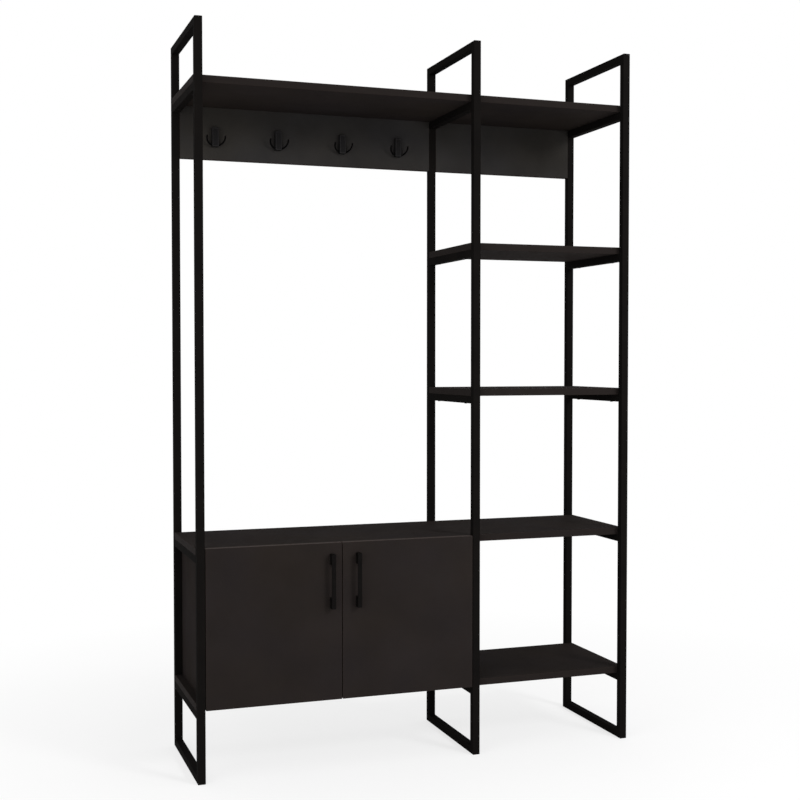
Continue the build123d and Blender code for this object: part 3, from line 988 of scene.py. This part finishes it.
def cup_cutters(side, settings):
    """The two round plugs that cut the hinge cup pockets of one door."""
    low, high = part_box(f"{side}_hinge_cups")
    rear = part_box(f"{side}_door")[1].y
    to_centre = settings.cup_radius + settings.cup_rim
    x = low.x + to_centre if side == "left" else high.x - to_centre
    cutters = []
    for z in (low.z + settings.cup_wing / 2, high.z - settings.cup_wing / 2):
        bm = bmesh.new()
        bmesh.ops.create_cone(
            bm,
            cap_ends=True,
            segments=POCKET_SIDES,
            radius1=settings.cup_radius,
            radius2=settings.cup_radius,
            depth=settings.cup_depth * 2,
        )
        for vertex in bm.verts:
            vertex.co = Vector((x + vertex.co.x, rear + vertex.co.z, z + vertex.co.y))
        # Laying the plug down mirrors it, so its faces are turned back.
        bmesh.ops.reverse_faces(bm, faces=bm.faces)
        cutters.append(loose_object("pocket", mesh_from(bm, "pocket")))
    return cutters


class HALLTREE_OT_handles(bpy.types.Operator):
    """Make the two bar handles"""

    bl_idname = "hall_tree.handles"
    bl_label = "Handles"

    def execute(self, context):
        settings = context.scene.hall_tree_hardware
        lacquer = satin_lacquer(
            "black_handle_lacquer", settings.handle, settings.handle_roughness, DRAWN_UPRIGHT
        )
        for side in SIDES:
            node = f"{side}_handle"
            shape = loose_object(node, handle_mesh(node, settings))
            mesh = settled_mesh(rounded(shape, settings.handle_round))
            mesh.materials.append(lacquer)
            add_piece(f"{node}_bar", mesh, f"{side}_door_leaf", "handle_metal", node)
        return {"FINISHED"}


def handle_mesh(node, settings):
    """A flat bar on two long feet."""
    low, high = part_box(node)
    foot, bar = settings.handle_foot, settings.handle_bar
    points = (
        (high.y, low.z),
        (low.y, low.z),
        (low.y, high.z),
        (high.y, high.z),
        (high.y, high.z - foot),
        (low.y + bar, high.z - foot),
        (low.y + bar, low.z + foot),
        (high.y, low.z + foot),
    )
    return outline_mesh(points, low.x, high.x, node)


class HALLTREE_OT_hooks(bpy.types.Operator):
    """Finish the four coat hooks"""

    bl_idname = "hall_tree.hooks"
    bl_label = "Coat hooks"

    def execute(self, context):
        settings = context.scene.hall_tree_hardware
        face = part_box(HOOKS[0])[1].y - settings.hook_depth
        rim_end = face + settings.hook_recess / 2
        recess_end = face + settings.hook_recess * 1.5
        lacquer = hook_lacquer(settings.hook, settings.hook_roughness, rim_end, recess_end)
        for node in HOOKS:
            dress(node, lacquer)
        return {"FINISHED"}


class HALLTREE_OT_hinges(bpy.types.Operator):
    """Finish the cup hinges and the shelf supports"""

    bl_idname = "hall_tree.hinges"
    bl_label = "Hinges"

    def execute(self, context):
        settings = context.scene.hall_tree_hardware
        nickel = plated_steel("nickel_plating", settings.nickel, grain=500.0)
        for side in SIDES:
            for kind in ("cups", "arms", "plates"):
                dress(f"{side}_hinge_{kind}", nickel)
        dress("shelf_supports", nickel)
        return {"FINISHED"}


class HALLTREE_OT_screws(bpy.types.Operator):
    """Make every screw with its thread and cross recess, and finish the nails of the back"""

    bl_idname = "hall_tree.screws"
    bl_label = "Screws"

    def execute(self, context):
        settings = context.scene.hall_tree_hardware
        finishes = {
            "screw_steel": plated_steel("zinc_plating", settings.zinc, grain=900.0),
            "black_screws": satin_lacquer(
                "black_screw_lacquer", settings.black, settings.screw_roughness, UNDRAWN
            ),
        }
        tree = screw_tree()
        for seed, (node, (_, slot)) in enumerate(SCREWS.items()):
            add_screws(tree, node, finishes[slot], seed)
        dress("back_nails", finishes["screw_steel"])
        return {"FINISHED"}


class HALLTREE_OT_stage(bpy.types.Operator):
    """Set the floor, the lamps and the camera"""

    bl_idname = "hall_tree.stage"
    bl_label = "Stage"

    def execute(self, context):
        settings = context.scene.hall_tree_stage
        add_camera(settings)
        light_world(settings)
        for name, place, target, width, power in LAMPS:
            add_lamp(name, place, target, width, getattr(settings, power))
        add_floor(settings)
        context.scene.view_settings.view_transform = "Standard"
        return {"FINISHED"}


def add_camera(settings):
    data = bpy.data.cameras.new("camera")
    data.lens = settings.lens
    data.sensor_width = 36.0
    camera = loose_object("camera", data)
    camera.location = settings.camera_place
    camera.rotation_euler = settings.camera_turn
    bpy.context.scene.camera = camera


def add_lamp(name, place, target, width, power):
    data = bpy.data.lights.new(name, "AREA")
    data.shape = "DISK"
    data.size = width
    data.energy = power
    lamp = loose_object(name, data)
    lamp.location = place
    aim = Vector(target) - Vector(place)
    lamp.rotation_euler = aim.to_track_quat("-Z", "Y").to_euler()


def seen_directly(graph):
    """1 for rays that show the background: from the camera, or through gloss or glass."""
    rays = [
        graph.node("ShaderNodeLightPath", output=kind)
        for kind in ("Is Camera Ray", "Is Glossy Ray", "Is Transmission Ray")
    ]
    return (rays[0] + rays[1] + rays[2]).clamped()


def light_world(settings):
    world = bpy.data.worlds.new("daylight")
    world.use_nodes = True
    bpy.context.scene.world = world
    graph = Graph(world.node_tree)
    strength = settings.daylight + seen_directly(graph) * (1.0 - settings.daylight)
    inputs = {"Color": (1.0, 1.0, 1.0), "Strength": strength}
    background = graph.node("ShaderNodeBackground", inputs=inputs)
    graph.node("ShaderNodeOutputWorld", inputs={"Surface": background})


def floor_material(colour, near, far, veil):
    """Pale floor with light shadows near the object, which ends in plain white far away."""
    finish = Finish("pale_floor")
    distance = finish.vector_math("LENGTH", finish.place, output="Value")
    fade = ((distance - near) / (far - near)).clamped()
    lit = finish.node("ShaderNodeBsdfDiffuse", inputs={"Color": colour})
    white = finish.node("ShaderNodeEmission", inputs={"Color": (1.0, 1.0, 1.0)})
    shown = (veil + fade * (1.0 - veil)) * seen_directly(finish)
    mixed = finish.node("ShaderNodeMixShader", inputs={0: shown, 1: lit, 2: white})
    finish.node("ShaderNodeOutputMaterial", inputs={"Surface": mixed})
    return finish.material


def add_floor(settings):
    bm = bmesh.new()
    bmesh.ops.create_circle(bm, cap_ends=True, segments=FLOOR_SIDES, radius=FLOOR_RADIUS)
    mesh = mesh_from(bm, "floor")
    mesh.transform(Matrix.Translation((0.0, 0.0, CAD_BOX[0].z - FLOOR_GAP)))
    material = floor_material(settings.floor, SHADOWS_FADE_FROM, SHADOWS_END_AT, settings.veil)
    mesh.materials.append(material)
    loose_object("floor", mesh)


# ------------------------------------------------------------ panel and registration
OPERATORS = (
    HALLTREE_OT_stage,
    HALLTREE_OT_frames,
    HALLTREE_OT_boards,
    HALLTREE_OT_doors,
    HALLTREE_OT_handles,
    HALLTREE_OT_hooks,
    HALLTREE_OT_hinges,
    HALLTREE_OT_screws,
)
SETTINGS = {
    "hall_tree_frames": HallTreeFrames,
    "hall_tree_boards": HallTreeBoards,
    "hall_tree_hardware": HallTreeHardware,
    "hall_tree_stage": HallTreeStage,
}


class HALLTREE_PT_panel(bpy.types.Panel):
    """Lists the hall tree's settings and the steps that build it."""

    bl_idname = "HALLTREE_PT_panel"
    bl_label = "Hall tree"
    bl_space_type = "VIEW_3D"
    bl_region_type = "UI"
    bl_category = "Hall tree"

    def draw(self, context):
        for group in SETTINGS:
            box = self.layout.box()
            settings = getattr(context.scene, group)
            for name in settings.__annotations__:
                box.prop(settings, name)
        for operator in OPERATORS:
            self.layout.operator(operator.bl_idname)


CLASSES = (*SETTINGS.values(), *OPERATORS, HALLTREE_PT_panel)


def register():
    for cls in CLASSES:
        bpy.utils.register_class(cls)
    for name, cls in SETTINGS.items():
        setattr(bpy.types.Scene, name, bpy.props.PointerProperty(type=cls))


def unregister():
    for name in SETTINGS:
        delattr(bpy.types.Scene, name)
    for cls in reversed(CLASSES):
        bpy.utils.unregister_class(cls)


def main():
    register()
    bpy.ops.hall_tree.stage()
    bpy.ops.hall_tree.frames()
    bpy.ops.hall_tree.boards()
    bpy.ops.hall_tree.doors()
    bpy.ops.hall_tree.handles()
    bpy.ops.hall_tree.hooks()
    bpy.ops.hall_tree.hinges()
    bpy.ops.hall_tree.screws()


if __name__ == "__main__":
    main()
